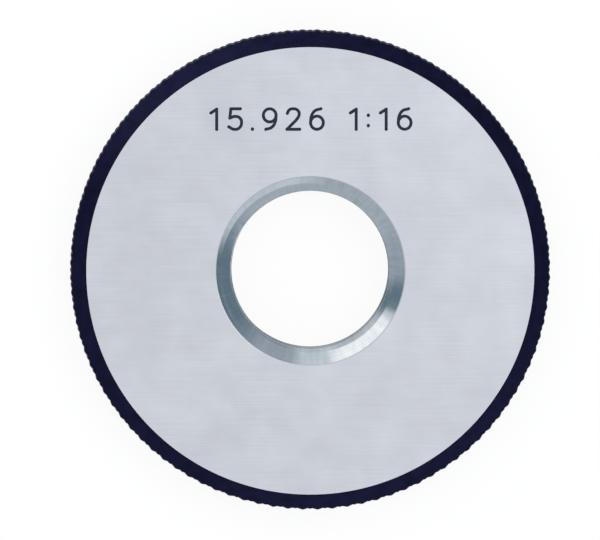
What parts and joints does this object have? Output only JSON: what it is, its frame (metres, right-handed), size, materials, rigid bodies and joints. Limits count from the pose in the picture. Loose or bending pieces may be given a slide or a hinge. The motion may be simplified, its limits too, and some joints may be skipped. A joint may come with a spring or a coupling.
{
  "type": "thread ring gauge",
  "caption": "Solid round ring gauge for taper pipe threads: ground flat faces, blackened bevelled rim with a diamond knurl, and a tapered threaded bore with bevelled mouths.",
  "frame": {"origin": "on the axis of the bore, on the small-end face, which the gauge lies on", "axes": "+Z along the bore, out of the marked large-end face where a pipe is screwed in; +X to the right of the marking, +Y to its top"},
  "size_m": [0.045, 0.045, 0.0061],
  "materials": {
    "tool_steel": "ground faces and bright bore; rim and its bevels blackened"
  },
  "bodies": {
    "root": {"gauge_ring": "tool_steel"}
  },
  "joints": []
}
